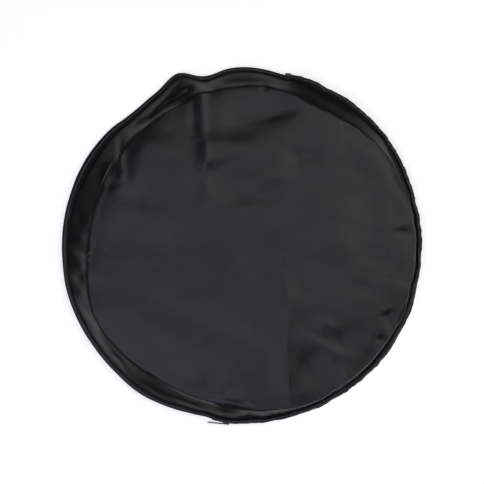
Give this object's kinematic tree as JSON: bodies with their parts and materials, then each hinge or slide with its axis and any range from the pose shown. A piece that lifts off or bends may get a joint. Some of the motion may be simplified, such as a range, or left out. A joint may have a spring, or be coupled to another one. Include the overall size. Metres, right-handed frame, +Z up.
{
  "type": "collapsible reflector disc",
  "caption": "Collapsible light reflector disc, folded into three sprung loops inside its flat round black pouch, with a zipped mouth round half the edge.",
  "frame": {"origin": "centre of the pouch's footprint, on the surface that it lies on", "axes": "+Z up, through the pouch's thickness; +X out of the middle of the zipped mouth"},
  "size_m": [0.3982, 0.4016, 0.0271],
  "materials": {
    "pouch_cloth": "black coated nylon",
    "binding_tape": "black woven tape",
    "zip_tape": "black woven tape",
    "zip_coil": "black nylon coil",
    "zip_metal": "black enamel",
    "rim_cloth": "black woven rim tape",
    "silver_cloth": "silver-laminated cloth",
    "white_cloth": "white polyester cloth",
    "spring_steel": "blued spring steel",
    "ferrule_steel": "zinc plated"
  },
  "bodies": {
    "bag": {"back_panel": "pouch_cloth", "front_panel_sewn_part": "pouch_cloth", "seam_binding": "binding_tape", "zip_tape_lower": "zip_tape", "zip_tape_upper_ends": "zip_tape", "zip_coil_lower": "zip_coil", "zip_coil_upper_ends": "zip_coil", "zip_top_stops": "zip_metal", "zip_bottom_stop": "zip_metal"},
    "mouth_flap": {"front_panel_flap": "pouch_cloth", "zip_tape_upper": "zip_tape", "zip_coil_upper": "zip_coil"},
    "slider": {"slider_body": "zip_metal", "slider_crown": "zip_metal"},
    "pull": {"pull_tab": "zip_metal"},
    "reflector": {"rim_sleeve": "rim_cloth", "spring_band": "spring_steel", "band_ferrule": "ferrule_steel", "silver_face": "silver_cloth", "white_face": "white_cloth"}
  },
  "joints": [
    {"name": "flap_fold", "type": "hinge", "parent": "bag", "child": "mouth_flap", "pos_m": [0.034, 0, 0.02725], "axis": [0, -1, 0], "range_deg": [0, 172]},
    {"name": "disc_slide", "type": "slide", "parent": "bag", "child": "reflector", "axis": [1, 0, 0], "range_m": [0, 0.377]},
    {"name": "zip_run", "type": "hinge", "parent": "bag", "child": "slider", "pos_m": [0, 0, 0.0042], "axis": [0, 0, 1], "range_deg": [0, 166]},
    {"name": "pull_swing", "type": "hinge", "parent": "slider", "child": "pull", "pos_m": [0.02439, -0.19867, 0.0042], "axis": [0, 0, 1], "range_deg": [0, 175]}
  ],
  "couplings": [
    {"joint": "disc_slide", "follows": "flap_fold", "m_per_rad": 0.1254}
  ]
}
